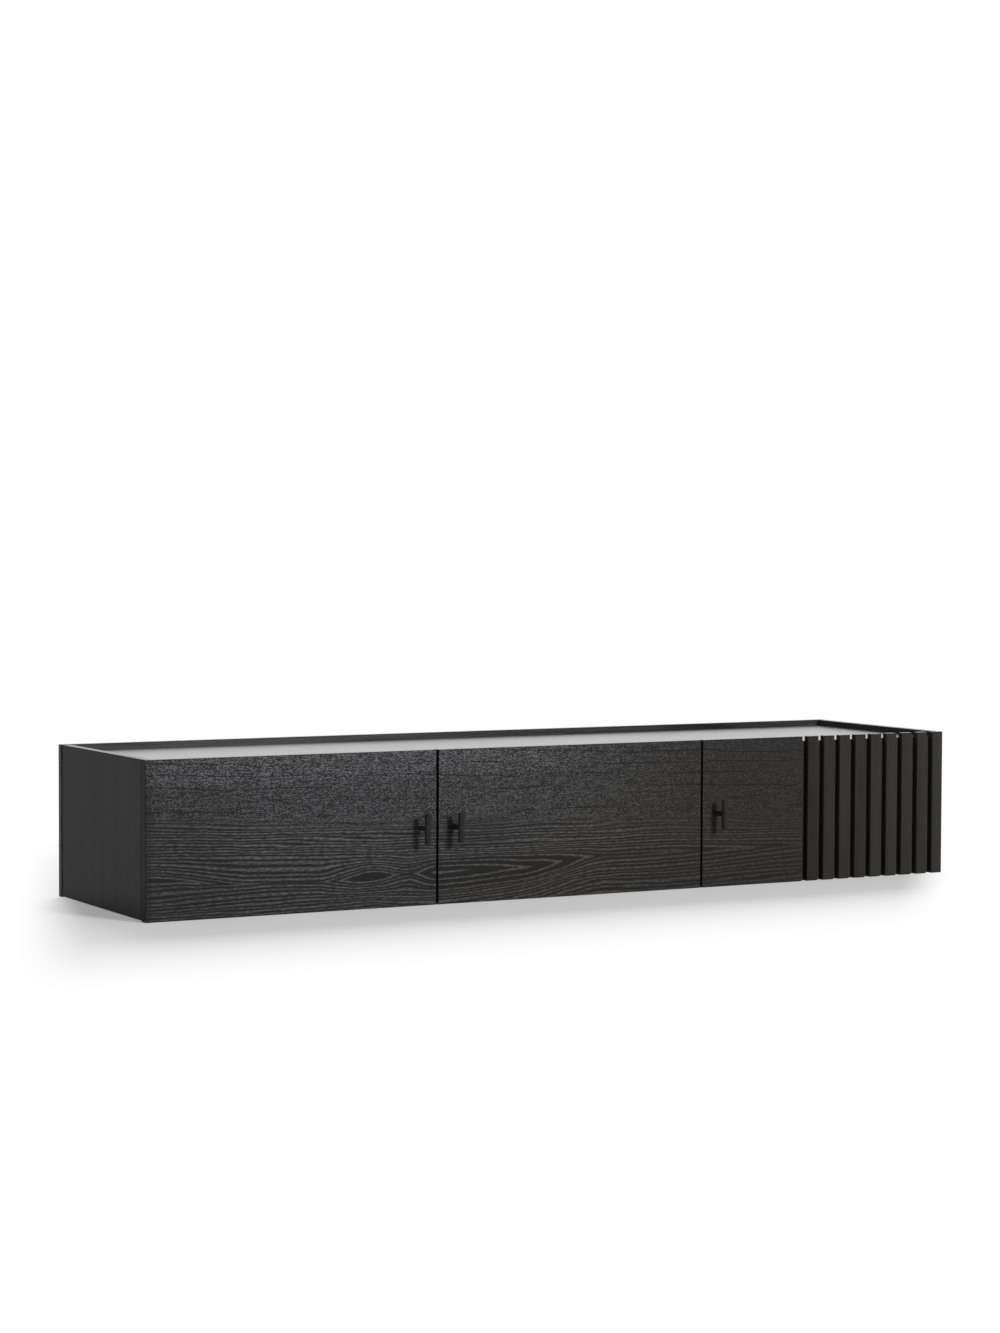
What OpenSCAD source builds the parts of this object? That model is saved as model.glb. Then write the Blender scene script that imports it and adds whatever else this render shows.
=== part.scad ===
// Wall-hung sideboard with three hinged doors, the right one partly slatted.
// Millimetres. X runs left to right, -Y is the door side, +Z is up.
// The origin is the centre of the back board's wall face.

/* [Overall] */
// Width across the doors
total_w = 1800; // [1400:10:2200]
// Depth from the wall to the door faces
total_d = 450; // [380:5:550]
// Height of the doors and of the back board
total_h = 298; // [260:2:400]
// How far the doors and the back board hang below the carcass
door_hang = 2; // [0:0.5:5]
// Height of the rim that stands round the top surface
rim_h = 12; // [8:1:25]

/* [Panels] */
// Thickness of each side panel
side_t = 18; // [16:1:22]
// Thickness of the top panel
top_t = 18; // [16:1:25]
// Thickness of the bottom panel
bottom_t = 18; // [16:1:25]
// Thickness of each partition
partition_t = 18; // [16:1:22]
// Thickness of the back board on the wall
back_board_t = 15; // [12:1:20]
// Width of the shadow gap, filled behind by the back liner
shadow_gap = 8; // [6:1:12]
// How far the back liner is set in from the outline
shadow_depth = 10; // [6:1:14]
// Chamfer along the panel edges
arris = 0.8; // [0.4:0.1:1.5]

/* [Doors] */
// Thickness of each door
door_t = 20; // [19:0.5:24]
// Gap between two neighbouring doors
door_gap = 4; // [3.5:0.5:6]
// Thickness of a door bumper, which is the gap behind the doors
bumper_t = 1.5; // [1:0.1:3]
// Radius of a door bumper
bumper_r = 4; // [3:0.5:6]
// Distance of a bumper from the door's free edge
bumper_inset = 20; // [14:1:28]

/* [Slatted door] */
// Width of one slat
slat_w = 26; // [25:0.5:28]
// Gap between two slats
slat_gap = 13.5; // [10:0.5:18]
// Thickness of the backing that carries slats and panel
backing_t = 6; // [5:0.5:9]
// How far the backing ends below the tops of the slats
backing_drop = 10; // [4:1:14]
// Distance of the backing screws from the backing's top and bottom
backing_screw_inset = 20; // [12:1:30]

/* [Handles] */
// Radius of the round handle bar
handle_r = 6; // [4:0.5:10]
// Length of the handle bar
handle_len = 58; // [40:1:120]
// Distance from the door face to the bar's axis
handle_off = 30; // [22:1:45]
// Distance of the bar from the door's free edge
handle_inset = 34; // [32:1:60]
// Radius of the post
post_r = 5; // [3.5:0.5:5.5]
// Depth of the post's seat in the bar, measured from the bar's axis
post_seat = 1; // [0:0.5:3]
// Chamfer at both ends of the bar
bar_chamfer = 0.8; // [0.3:0.1:1.5]
// Radius of the handle screw
handle_screw_r = 2; // [1.5:0.25:2.5]
// Depth of the handle screw in the post
handle_screw_grip = 12; // [6:1:16]
// Radius of the handle screw's head
handle_screw_head_r = 4; // [3:0.5:5]
// Thickness of the handle screw's head
handle_screw_head_t = 2.2; // [1.5:0.1:3]

/* [Hinges] */
// Distance of a hinge from the door's top or bottom edge
hinge_inset = 68; // [60:1:100]
// Distance of the housing from the door's edge
housing_edge = 4; // [3.5:0.5:5]
// Width of the hinge housing
housing_w = 20.5; // [20:0.5:21.5]
// Depth of the hinge housing in the door
housing_depth = 12.5; // [12:0.5:14]
// Height of the hinge housing
housing_h = 32; // [28:1:40]
// Wall of the hinge housing
housing_wall = 1; // [0.8:0.1:1.2]
// Thickness of the housing's flange, let into the door
flange_t = 2; // [1.5:0.1:3]
// Height of the housing's flange
flange_h = 54; // [50:1:70]
// Distance of the housing screws from the flange's ends
flange_screw_inset = 5.5; // [5:0.5:8]
// Door pin, measured from the door's edge
door_pin_u = 9; // [8.5:0.1:10]
// Door pin, measured forwards from the door's back face
door_pin_in = 3.5; // [3:0.1:4]
// Link elbow, measured from the door's edge
elbow_u = 15.5; // [14.5:0.1:17]
// Link elbow, measured forwards from the door's back face
elbow_in = 9; // [8.5:0.1:9.5]
// Arm pin, measured from the door's edge
arm_pin_u = 30; // [29:0.5:34]
// Arm pin, measured backwards from the door's back face
arm_pin_back = 15; // [14:0.5:20]
// Radius of both hinge pins
pin_r = 1.5; // [1.2:0.1:1.6]
// Running clearance between a pin and its eye
pin_clear = 0.05; // [0.03:0.01:0.1]
// Radius of the eyes at both ends of the link
eye_r = 2.6; // [2.4:0.1:2.8]
// Thickness of the link's steel
link_t = 2; // [1.6:0.1:2.2]
// Height of the link
link_h = 16; // [10:1:20]
// Clearance between the link and the ears of the arm
ear_clear = 0.3; // [0.2:0.1:0.6]
// Thickness of the arm's steel
arm_t = 2; // [1.5:0.1:2.5]
// Radius of the arm's ears round the arm pin
ear_r = 4; // [3.5:0.5:5]
// Width of the arm from its seat on the plate to its back
arm_w = 12; // [11:0.5:14]
// Length of the arm behind the arm pin
arm_len = 58; // [50:1:80]
// Length of the open fork at the front of the arm
fork_len = 11; // [9:1:16]
// Length over which the fork is no wider than its ears
fork_neck = 6; // [4:0.5:8]
// Distance of the arm screws from the ends of the arm
arm_screw_inset = 17; // [15:1:22]
// Radius of an arm screw's head
arm_screw_r = 3; // [2:0.5:4]
// Thickness of an arm screw's head
arm_screw_t = 1.4; // [1:0.1:2]
// Distance from the arm pin to the plate
plate_start = 16; // [14:1:20]
// Length of the mounting plate
plate_len = 38; // [32:1:44]
// Height of the mounting plate across its wings
plate_h = 50; // [46:1:60]
// Thickness of the plate's wings
wing_t = 3; // [2:0.5:4]
// Height of the ridge that the arm rides on
ridge_h = 5; // [3:0.5:7]
// Distance of the plate screws from the ends of the wings
plate_screw_inset = 6; // [5:0.5:9]

/* [Fittings] */
// Radius of a small wood screw
screw_r = 1.75; // [1.5:0.25:2]
// Radius of a small wood screw's countersunk head
screw_head_r = 3.5; // [3:0.25:4]
// Depth of a countersunk head
screw_head_t = 1.8; // [1.4:0.1:1.9]
// Grip of the screws that hold hinges and slats
screw_grip = 8; // [5:0.5:9]
// Depth of the cross recess in a head
recess_depth = 1; // [0.6:0.1:1.2]
// Width of the cross recess
recess_w = 0.8; // [0.5:0.1:1]
// Grip of the screws from the liner into the back board
board_screw_grip = 10; // [6:1:11]
// Distance of the liner screws from the compartment's sides
board_screw_side = 38; // [34:1:50]
// Distance of the liner screws from the compartment's floor and ceiling
board_screw_rise = 14; // [10:1:20]
// Radius of a wooden dowel
dowel_r = 4; // [3:0.5:5]
// Length of a wooden dowel
dowel_len = 30; // [24:1:40]
// Depth of a dowel in a panel's face
dowel_in = 12; // [8:1:13]
// Distance of the outer dowels from the carcass front and back
dowel_inset = 45; // [35:5:70]
// Distance of a partition's front dowels behind the hinge plates
dowel_behind_plate = 12; // [8:1:40]
// Radius of a cam disc
cam_r = 7.5; // [6:0.5:8]
// Metal of a cam disc beyond its bolt
cam_end = 1.5; // [1:0.25:2]
// Distance of a cam disc from the side panel
cam_reach = 34; // [24:1:40]
// Radius of a cam bolt
cam_bolt_r = 3; // [2.5:0.25:3.5]
// Depth of a cam bolt in the side panel
cam_bolt_in = 11; // [8:1:13]
// Distance of the cams from the carcass front and back
cam_inset = 95; // [80:5:140]
// Clearance round dowels, cams, screws and posts
fit_clear = 0.05; // [0.02:0.01:0.15]

/* [Wall fixing and cables] */
// Radius of the wall screw holes
wall_hole_r = 4.25; // [3:0.25:6]
// Distance of the outer wall holes from the middle
wall_hole_x = 750; // [650:10:820]
// Distance of the inner wall holes from the middle
wall_hole_mid_x = 150; // [100:10:220]
// Distance of the wall holes above and below the middle
wall_hole_z = 90; // [70:5:105]
// Radius of a wall screw washer
washer_r = 12; // [9:1:16]
// Thickness of a wall screw washer
washer_t = 3; // [2:0.5:4]
// Radius of the cable holes in liner and back board
cable_hole_r = 30; // [20:1:40]
// Height of the cable holes above the compartment floor
cable_hole_rise = 59; // [50:1:120]
// Wall of a cable grommet
grommet_wall = 3; // [2:0.5:5]
// Flange of a cable grommet
grommet_flange = 4; // [3:0.5:6]
// Thickness of a grommet's flange
grommet_flange_t = 2; // [1:0.5:3]

/* [Hidden] */
$fn = 48;
screw_fn = 24;
// How far a cut runs past the face that it opens
cut = 1;
// Places of the main faces
z_top = total_h / 2;
z_low = -total_h / 2;
z_carcass = z_low + door_hang;
z_surface = z_top - rim_h;
z_ceiling = z_surface - top_t;
z_floor = z_carcass + bottom_t;
x_side = total_w / 2;
x_inner = x_side - side_t;
y_board = -back_board_t;
y_liner = y_board - shadow_gap;
y_door = -total_d;
y_door_back = y_door + door_t;
y_carcass = y_door_back + bumper_t;
carcass_d = y_liner - y_carcass;
// The three doors have the same pitch, and the partitions stand behind the gaps
partition_x = total_w / 6;
liner_x = x_side - shadow_depth;
liner_low = z_carcass + shadow_depth;
// Left and right edge, hinge edge and opening side of doors 0, 1 and 2
door_lo = [-x_side, -partition_x + door_gap / 2, partition_x + door_gap / 2];
door_hi = [-partition_x - door_gap / 2, partition_x - door_gap / 2, x_side];
hinge_x = [door_lo[0], door_hi[1], door_hi[2]];
hinge_dir = [1, -1, -1];
free_x = [door_hi[0], door_lo[1], door_lo[2]];
// Inner face of what carries each door's plates, measured from the hinge edge
carrier_u = [side_t, (partition_t - door_gap) / 2, side_t];
hinge_z = [z_low + hinge_inset, z_top - hinge_inset];
// Hinge points in the frame of the door's hinge edge: u into the door, v backwards
door_pin = [door_pin_u, door_t - door_pin_in];
elbow = [elbow_u, door_t - elbow_in];
arm_pin = [arm_pin_u, door_t + arm_pin_back];
arm_seat_u = arm_pin_u + ear_r - arm_w;
ear_z = link_h / 2 + ear_clear;
// Nine slats, one node each, are counted from the plain panel to the hinge edge
slat_n = 9;
slat_pitch = slat_w + slat_gap;
slat_first_x = x_side - slat_w - (slat_n - 1) * slat_pitch;
slat_t = door_t - backing_t;
panel_hi = slat_first_x - slat_gap;
backing_top = z_top - backing_drop;
backing_screw_z = [z_low + backing_screw_inset, backing_top - backing_screw_inset];
// The handles stand at mid-height
handle_z = 0;
cable_hole_z = z_floor + cable_hole_rise;
// Front and back end of the hinge plates
plate_ys = [y_door + arm_pin.y + plate_start, y_door + arm_pin.y + plate_start + plate_len];
stain = [0.17, 0.165, 0.16];
dark_stain = [0.12, 0.115, 0.11];
black_metal = [0.05, 0.05, 0.05];
steel = [0.62, 0.62, 0.64];

// Basic shapes

// Block between two opposite corners
module block(lo, hi) {
    translate(lo) cube(hi - lo);
}

// Rectangle with chamfered corners, from the origin
module chamfered(w, h, e) {
    polygon([[e, 0], [w - e, 0], [w, e], [w, h - e], [w - e, h], [e, h], [0, h - e], [0, e]]);
}

// Block between two opposite corners, with all its arrises taken off
module eased_block(lo, hi, e = arris) {
    s = hi - lo;
    translate(lo) intersection() {
        linear_extrude(s.z) chamfered(s.x, s.y, e);
        translate([0, s.y, 0]) rotate([90, 0, 0]) linear_extrude(s.y) chamfered(s.x, s.z, e);
        rotate([90, 0, 90]) linear_extrude(s.x) chamfered(s.y, s.z, e);
    }
}

// Cylinder along +Y from a point
module rod_y(p, r, len) {
    translate(p) rotate([-90, 0, 0]) cylinder(r = r, h = len);
}

// Cylinder along +X from a point
module rod_x(p, r, len) {
    translate(p) rotate([0, 90, 0]) cylinder(r = r, h = len);
}

// Countersunk wood screw: head flush at the origin, shank along -Z
module wood_screw(len, extra = 0) {
    $fn = screw_fn;
    translate([0, 0, -len - extra]) cylinder(r = screw_r + extra, h = len + extra);
    translate([0, 0, -screw_head_t - extra])
        cylinder(r1 = screw_r + extra, r2 = screw_head_r + extra, h = screw_head_t + extra);
}

// Cross recess in a head that faces +Z
module cross_recess(span) {
    for (turn = [0, 90]) rotate([0, 0, turn])
        translate([-span / 2, -recess_w / 2, -recess_depth]) cube([span, recess_w, recess_depth + cut]);
}

// Carcass fittings that join panels

// Places of the dowels along a joint, from the carcass front to the back
function dowel_ys() = [y_carcass + dowel_inset, (y_carcass + y_liner) / 2, y_liner - dowel_inset];
function cam_ys() = [y_carcass + cam_inset, y_liner - cam_inset];
function joint_zs() = [(z_surface + z_ceiling) / 2, (z_floor + z_carcass) / 2];

// Side dowels lie along X at both ends of the top and bottom panels
module side_dowels(extra) {
    for (side = [-1, 1]) for (z = joint_zs()) for (y = dowel_ys())
        mirror([side < 0 ? 1 : 0, 0, 0])
            rod_x([x_inner + dowel_in - dowel_len - extra, y, z], dowel_r + extra, dowel_len + 2 * extra);
}

// Partition dowels stand up into the top panel and down into the bottom panel, clear of the plate screws
module partition_dowels(extra) {
    for (side = [-1, 1]) for (y = [plate_ys[1] + dowel_behind_plate, y_liner - dowel_inset]) {
        translate([side * partition_x, y, z_ceiling + dowel_in - dowel_len - extra])
            cylinder(r = dowel_r + extra, h = dowel_len + 2 * extra);
        translate([side * partition_x, y, z_floor - dowel_in - extra])
            cylinder(r = dowel_r + extra, h = dowel_len + 2 * extra);
    }
}

module carcass_dowels() {
    color([0.76, 0.62, 0.42]) {
        side_dowels(0);
        partition_dowels(0);
    }
}

// Bolts run from their cams into the side panels, and their holes start at the cam's axis
module bolts(extra) {
    start = extra > 0 ? 0 : cam_r + 2 * fit_clear;
    for (side = [-1, 1]) for (z = joint_zs()) for (y = cam_ys())
        mirror([side < 0 ? 1 : 0, 0, 0]) rod_x([x_inner - cam_reach + start, y, z],
            cam_bolt_r + extra, cam_reach - start + cam_bolt_in + extra);
}

module cam_bolts() {
    color(steel) bolts(0);
}

// One cam for a panel of thickness t, flush with the face at its origin and going down
module cam(t, extra) {
    len = t / 2 + cam_bolt_r + cam_end;
    translate([0, 0, -len - extra]) cylinder(r = cam_r + extra, h = len + 2 * extra);
}

// Places the cams of the top panel, then those of the bottom panel
module at_top_cams() {
    for (side = [-1, 1]) for (y = cam_ys())
        translate([side * (x_inner - cam_reach), y, z_ceiling]) rotate([180, 0, 0]) children();
}

module at_bottom_cams() {
    for (side = [-1, 1]) for (y = cam_ys())
        translate([side * (x_inner - cam_reach), y, z_floor]) children();
}

module cam_discs() {
    color(steel) {
        at_top_cams() difference() {
            cam(top_t, 0);
            cross_recess(cam_r);
        }
        at_bottom_cams() difference() {
            cam(bottom_t, 0);
            cross_recess(cam_r);
        }
    }
}

// Holes through liner and back board

function compartment_xs() = [-(x_inner + partition_x) / 2, 0, (x_inner + partition_x) / 2];

module wall_holes() {
    for (x = [-wall_hole_x, wall_hole_x]) for (z = [-wall_hole_z, wall_hole_z])
        rod_y([x, y_liner - cut, z], wall_hole_r, back_board_t + shadow_gap + 2 * cut);
    for (x = [-wall_hole_mid_x, wall_hole_mid_x])
        rod_y([x, y_liner - cut, wall_hole_z], wall_hole_r, back_board_t + shadow_gap + 2 * cut);
}

module cable_holes() {
    for (x = compartment_xs())
        rod_y([x, y_liner - cut, cable_hole_z], cable_hole_r, back_board_t + shadow_gap + 2 * cut);
}

// Four screws from each compartment go through the liner into the back board
module at_board_screws() {
    span = (x_inner - partition_x) / 2 - board_screw_side;
    for (x = compartment_xs()) for (dx = [-span, span])
        for (z = [z_floor + board_screw_rise, z_ceiling - board_screw_rise])
            translate([x + dx, y_liner, z]) rotate([90, 0, 0]) children();
}

module board_screws(extra) {
    at_board_screws() wood_screw(shadow_gap + board_screw_grip, extra);
}

module back_board_screws() {
    color(steel) difference() {
        board_screws(0);
        at_board_screws() cross_recess(screw_head_r);
    }
}

module wall_washers() {
    color(steel) difference() {
        for (p = [[-wall_hole_x, -1], [wall_hole_x, -1], [-wall_hole_x, 1], [wall_hole_x, 1],
                [-wall_hole_mid_x, 1], [wall_hole_mid_x, 1]])
            rod_y([p[0], y_liner - washer_t, p[1] * wall_hole_z], washer_r, washer_t);
        translate([0, -washer_t, 0]) wall_holes();
    }
}

module cable_grommets() {
    color(black_metal) for (x = compartment_xs()) translate([x, y_liner - grommet_flange_t, cable_hole_z])
        rotate([-90, 0, 0]) rotate_extrude() polygon([
            [cable_hole_r - fit_clear - grommet_wall, 0],
            [cable_hole_r + grommet_flange, 0],
            [cable_hole_r + grommet_flange, grommet_flange_t],
            [cable_hole_r - fit_clear, grommet_flange_t],
            [cable_hole_r - fit_clear, grommet_flange_t + shadow_gap + back_board_t],
            [cable_hole_r - fit_clear - grommet_wall, grommet_flange_t + shadow_gap + back_board_t]
        ]);
}

// Carcass panels

module side_panel(side) {
    color(stain) difference() {
        eased_block([side < 0 ? -x_side : x_inner, y_carcass, z_carcass],
            [side < 0 ? -x_inner : x_side, y_liner, z_top]);
        side_dowels(fit_clear);
        bolts(fit_clear);
        for (i = [0, 2]) plate_screw_set(i, fit_clear);
    }
}

module left_side() {
    side_panel(-1);
}

module right_side() {
    side_panel(1);
}

module top_panel() {
    color(stain) difference() {
        block([-x_inner, y_carcass, z_ceiling], [x_inner, y_board, z_surface]);
        side_dowels(fit_clear);
        partition_dowels(fit_clear);
        bolts(fit_clear);
        at_top_cams() cam(top_t, fit_clear);
    }
}

module bottom_panel() {
    color(stain) difference() {
        block([-x_inner, y_carcass, z_carcass], [x_inner, y_liner, z_floor]);
        side_dowels(fit_clear);
        partition_dowels(fit_clear);
        bolts(fit_clear);
        at_bottom_cams() cam(bottom_t, fit_clear);
    }
}

module partition(side) {
    color(stain) difference() {
        block([side * partition_x - partition_t / 2, y_carcass, z_floor],
            [side * partition_x + partition_t / 2, y_liner, z_ceiling]);
        partition_dowels(fit_clear);
        plate_screw_set(1, fit_clear);
    }
}

module left_partition() {
    partition(-1);
}

module right_partition() {
    partition(1);
}

module back_board() {
    color(stain) difference() {
        eased_block([-x_side, y_board, z_low], [x_side, 0, z_top]);
        wall_holes();
        cable_holes();
        board_screws(fit_clear);
    }
}

module back_liner() {
    color(dark_stain) difference() {
        block([-liner_x, y_liner, liner_low], [liner_x, y_board, z_ceiling]);
        wall_holes();
        cable_holes();
        board_screws(fit_clear);
    }
}

// Hinges, in the frame of the door's hinge edge

module at_hinges(i) {
    for (z = hinge_z) translate([hinge_x[i], y_door, z])
        mirror([hinge_dir[i] < 0 ? 1 : 0, 0, 0]) children();
}

// Straight band between two points in plan
module band(p, q, t) {
    d = (q - p) / norm(q - p);
    n = [-d.y, d.x] * t / 2;
    polygon([p + n, p - n, q - n, q + n]);
}

// Link: a steel band, bent at the elbow, with an eye at each end
module hinge_link() {
    translate([0, 0, -link_h / 2]) linear_extrude(link_h) difference() {
        union() {
            band(door_pin, elbow, link_t);
            band(elbow, arm_pin, link_t);
            translate(elbow) circle(r = link_t / 2);
            translate(door_pin) circle(r = eye_r);
            translate(arm_pin) circle(r = eye_r);
        }
        translate(door_pin) circle(r = pin_r + pin_clear);
        translate(arm_pin) circle(r = pin_r + pin_clear);
    }
}

// Arm: a channel with two ears that hold the arm pin
module hinge_arm() {
    front = arm_pin.y;
    height = 2 * (ear_z + arm_t);
    difference() {
        union() {
            for (z = [-ear_z - arm_t, ear_z]) translate([0, 0, z]) linear_extrude(arm_t) {
                translate(arm_pin) circle(r = ear_r);
                translate([arm_seat_u, front]) square([arm_w, arm_len]);
            }
            translate([arm_seat_u + arm_w - arm_t, front + fork_len, -height / 2])
                cube([arm_t, arm_len - fork_len, height]);
        }
        block([arm_seat_u - cut, front - cut, -height], [arm_pin_u - ear_r, front + fork_neck, height]);
    }
    translate([arm_pin.x, arm_pin.y, -height / 2]) cylinder(r = pin_r, h = height);
    for (y = [front + arm_screw_inset, front + arm_len - arm_screw_inset])
        rod_x([arm_seat_u + arm_w, y, 0], arm_screw_r, arm_screw_t);
}

// Plate: wings on the panel, a pedestal up to the arm and a ridge inside the channel
module hinge_plate(u0) {
    v0 = plate_ys[0] - y_door;
    difference() {
        union() {
            block([u0, v0, -plate_h / 2], [u0 + wing_t, v0 + plate_len, plate_h / 2]);
            block([u0, v0, -ear_z - arm_t], [arm_seat_u, v0 + plate_len, ear_z + arm_t]);
            block([u0, v0, -ear_z + ear_clear], [arm_seat_u + ridge_h, v0 + plate_len, ear_z - ear_clear]);
        }
        plate_screws_at(u0, fit_clear);
    }
}

module at_plate_screws(u0) {
    for (z = [-plate_h / 2 + plate_screw_inset, plate_h / 2 - plate_screw_inset])
        translate([u0 + wing_t, (plate_ys[0] + plate_ys[1]) / 2 - y_door, z]) rotate([0, 90, 0]) children();
}

module plate_screws_at(u0, extra) {
    at_plate_screws(u0) wood_screw(wing_t + screw_grip, extra);
}

module plate_screw_set(i, extra) {
    at_hinges(i) plate_screws_at(carrier_u[i], extra);
}

module hinge_plates(i) {
    color(steel) at_hinges(i) hinge_plate(carrier_u[i]);
}

module plate_screws(i) {
    color(steel) difference() {
        plate_screw_set(i, 0);
        at_hinges(i) at_plate_screws(carrier_u[i]) cross_recess(screw_head_r);
    }
}

module hinge_arms(i) {
    color(steel) at_hinges(i) hinge_arm();
}

module hinge_links(i) {
    color(steel) at_hinges(i) hinge_link();
}

// Pocket in the door for a housing and its flange
module housing_pocket(extra) {
    block([housing_edge - extra, door_t - housing_depth - extra, -housing_h / 2 - extra],
        [housing_edge + housing_w + extra, door_t + cut, housing_h / 2 + extra]);
    block([housing_edge - extra, door_t - flange_t - extra, -flange_h / 2 - extra],
        [housing_edge + housing_w + extra, door_t + cut, flange_h / 2 + extra]);
}

// Housing: an open steel box with its flange and the door pin
module hinge_housing() {
    floor_y = door_t - housing_depth;
    difference() {
        union() {
            block([housing_edge, floor_y, -housing_h / 2], [housing_edge + housing_w, door_t, housing_h / 2]);
            block([housing_edge, door_t - flange_t, -flange_h / 2],
                [housing_edge + housing_w, door_t, flange_h / 2]);
        }
        block([housing_edge + housing_wall, floor_y + housing_wall, housing_wall - housing_h / 2],
            [housing_edge + housing_w - housing_wall, door_t + cut, housing_h / 2 - housing_wall]);
        housing_screws_at(fit_clear);
    }
    translate([door_pin.x, door_pin.y, -housing_h / 2 + housing_wall / 2])
        cylinder(r = pin_r, h = housing_h - housing_wall);
}

module at_housing_screws() {
    for (z = [-flange_h / 2 + flange_screw_inset, flange_h / 2 - flange_screw_inset])
        translate([housing_edge + housing_w / 2, door_t, z]) rotate([-90, 0, 0]) children();
}

module housing_screws_at(extra) {
    at_housing_screws() wood_screw(flange_t + screw_grip, extra);
}

module hinge_housings(i) {
    color(steel) at_hinges(i) hinge_housing();
}

module housing_screws(i) {
    color(steel) at_hinges(i) difference() {
        housing_screws_at(0);
        at_housing_screws() cross_recess(screw_head_r);
    }
}

// Doors

// What the hinges and the handle screw take out of a door
module door_cuts(i) {
    at_hinges(i) {
        housing_pocket(fit_clear);
        housing_screws_at(fit_clear);
    }
    rod_y([handle_x(i), y_door - cut, handle_z], handle_screw_r + fit_clear, door_t + 2 * cut);
}

module plain_door(i) {
    color(stain) difference() {
        eased_block([door_lo[i], y_door, z_low], [door_hi[i], y_door_back, z_top]);
        door_cuts(i);
    }
}

module left_door() {
    plain_door(0);
}

module middle_door() {
    plain_door(1);
}

// Screws through the backing: two in each slat and four in the plain panel
function backing_screw_xs() = concat(
    [for (k = [0 : slat_n - 1]) slat_first_x + k * slat_pitch + slat_w / 2],
    [door_lo[2] + slat_w, panel_hi - slat_w]);

module at_backing_screws() {
    for (x = backing_screw_xs()) for (z = backing_screw_z)
        translate([x, y_door_back, z]) rotate([-90, 0, 0]) children();
}

module backing_screws_at(extra) {
    at_backing_screws() wood_screw(backing_t + screw_grip, extra);
}

module backing_screws() {
    color(steel) difference() {
        backing_screws_at(0);
        at_backing_screws() cross_recess(screw_head_r);
    }
}

module right_door_panel() {
    color(stain) difference() {
        eased_block([door_lo[2], y_door, z_low], [panel_hi, y_door + slat_t, z_top]);
        door_cuts(2);
        backing_screws_at(fit_clear);
    }
}

module right_door_backing() {
    color(dark_stain) difference() {
        block([door_lo[2], y_door + slat_t, z_low], [door_hi[2], y_door_back, backing_top]);
        door_cuts(2);
        backing_screws_at(fit_clear);
    }
}

module slat(k) {
    x = slat_first_x + (k - 1) * slat_pitch;
    color(stain) difference() {
        eased_block([x, y_door, z_low], [x + slat_w, y_door + slat_t, z_top]);
        door_cuts(2);
        backing_screws_at(fit_clear);
    }
}

// Handles

function handle_x(i) = free_x[i] - hinge_dir[i] * handle_inset;

// Bar: a turned rod with chamfered ends, drilled for its post
module handle_bar(i) {
    color(black_metal) translate([handle_x(i), y_door - handle_off, handle_z]) difference() {
        translate([0, 0, -handle_len / 2]) rotate_extrude() polygon([
            [0, 0],
            [handle_r - bar_chamfer, 0],
            [handle_r, bar_chamfer],
            [handle_r, handle_len - bar_chamfer],
            [handle_r - bar_chamfer, handle_len],
            [0, handle_len]
        ]);
        rod_y([0, -post_seat, 0], post_r + fit_clear, handle_r + post_seat + cut);
    }
}

// Post: stands on the door and ends in the bar
module handle_post(i) {
    color(black_metal) difference() {
        rod_y([handle_x(i), y_door - handle_off - post_seat, handle_z], post_r, handle_off + post_seat);
        rod_y([handle_x(i), y_door - handle_screw_grip - fit_clear, handle_z],
            handle_screw_r + fit_clear, handle_screw_grip + fit_clear + cut);
    }
}

// Screw: comes from inside the door and ends in the post
module handle_screw(i) {
    color(steel) difference() {
        union() {
            rod_y([handle_x(i), y_door - handle_screw_grip, handle_z],
                handle_screw_r, door_t + handle_screw_grip);
            rod_y([handle_x(i), y_door_back, handle_z], handle_screw_head_r, handle_screw_head_t);
        }
        translate([handle_x(i), y_door_back + handle_screw_head_t, handle_z])
            rotate([-90, 0, 0]) cross_recess(handle_screw_head_r);
    }
}

// Bumpers: stuck on the door, they meet the edges of the top and bottom panels
module door_bumpers(i) {
    color(black_metal) for (z = joint_zs())
        rod_y([free_x[i] - hinge_dir[i] * bumper_inset, y_door_back, z], bumper_r, bumper_t);
}

left_side();
right_side();
top_panel();
bottom_panel();
left_partition();
right_partition();
back_board();
back_liner();
carcass_dowels();
cam_discs();
cam_bolts();
back_board_screws();
wall_washers();
cable_grommets();
hinge_plates(0);  // left_hinge_plates
hinge_plates(1);  // middle_hinge_plates
hinge_plates(2);  // right_hinge_plates
plate_screws(0);  // left_plate_screws
plate_screws(1);  // middle_plate_screws
plate_screws(2);  // right_plate_screws
hinge_arms(0);  // left_hinge_arms
hinge_arms(1);  // middle_hinge_arms
hinge_arms(2);  // right_hinge_arms
hinge_links(0);  // left_hinge_links
hinge_links(1);  // middle_hinge_links
hinge_links(2);  // right_hinge_links
left_door();
middle_door();
right_door_panel();
right_door_backing();
slat(1);  // slat_1
slat(2);  // slat_2
slat(3);  // slat_3
slat(4);  // slat_4
slat(5);  // slat_5
slat(6);  // slat_6
slat(7);  // slat_7
slat(8);  // slat_8
slat(9);  // slat_9
backing_screws();
hinge_housings(0);  // left_hinge_housings
hinge_housings(1);  // middle_hinge_housings
hinge_housings(2);  // right_hinge_housings
housing_screws(0);  // left_housing_screws
housing_screws(1);  // middle_housing_screws
housing_screws(2);  // right_housing_screws
handle_bar(0);  // left_handle_bar
handle_bar(1);  // middle_handle_bar
handle_bar(2);  // right_handle_bar
handle_post(0);  // left_handle_post
handle_post(1);  // middle_handle_post
handle_post(2);  // right_handle_post
handle_screw(0);  // left_handle_screw
handle_screw(1);  // middle_handle_screw
handle_screw(2);  // right_handle_screw
door_bumpers(0);  // left_door_bumpers
door_bumpers(1);  // middle_door_bumpers
door_bumpers(2);  // right_door_bumpers
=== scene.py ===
import math

import bpy
from mathutils import Matrix, Vector

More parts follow.
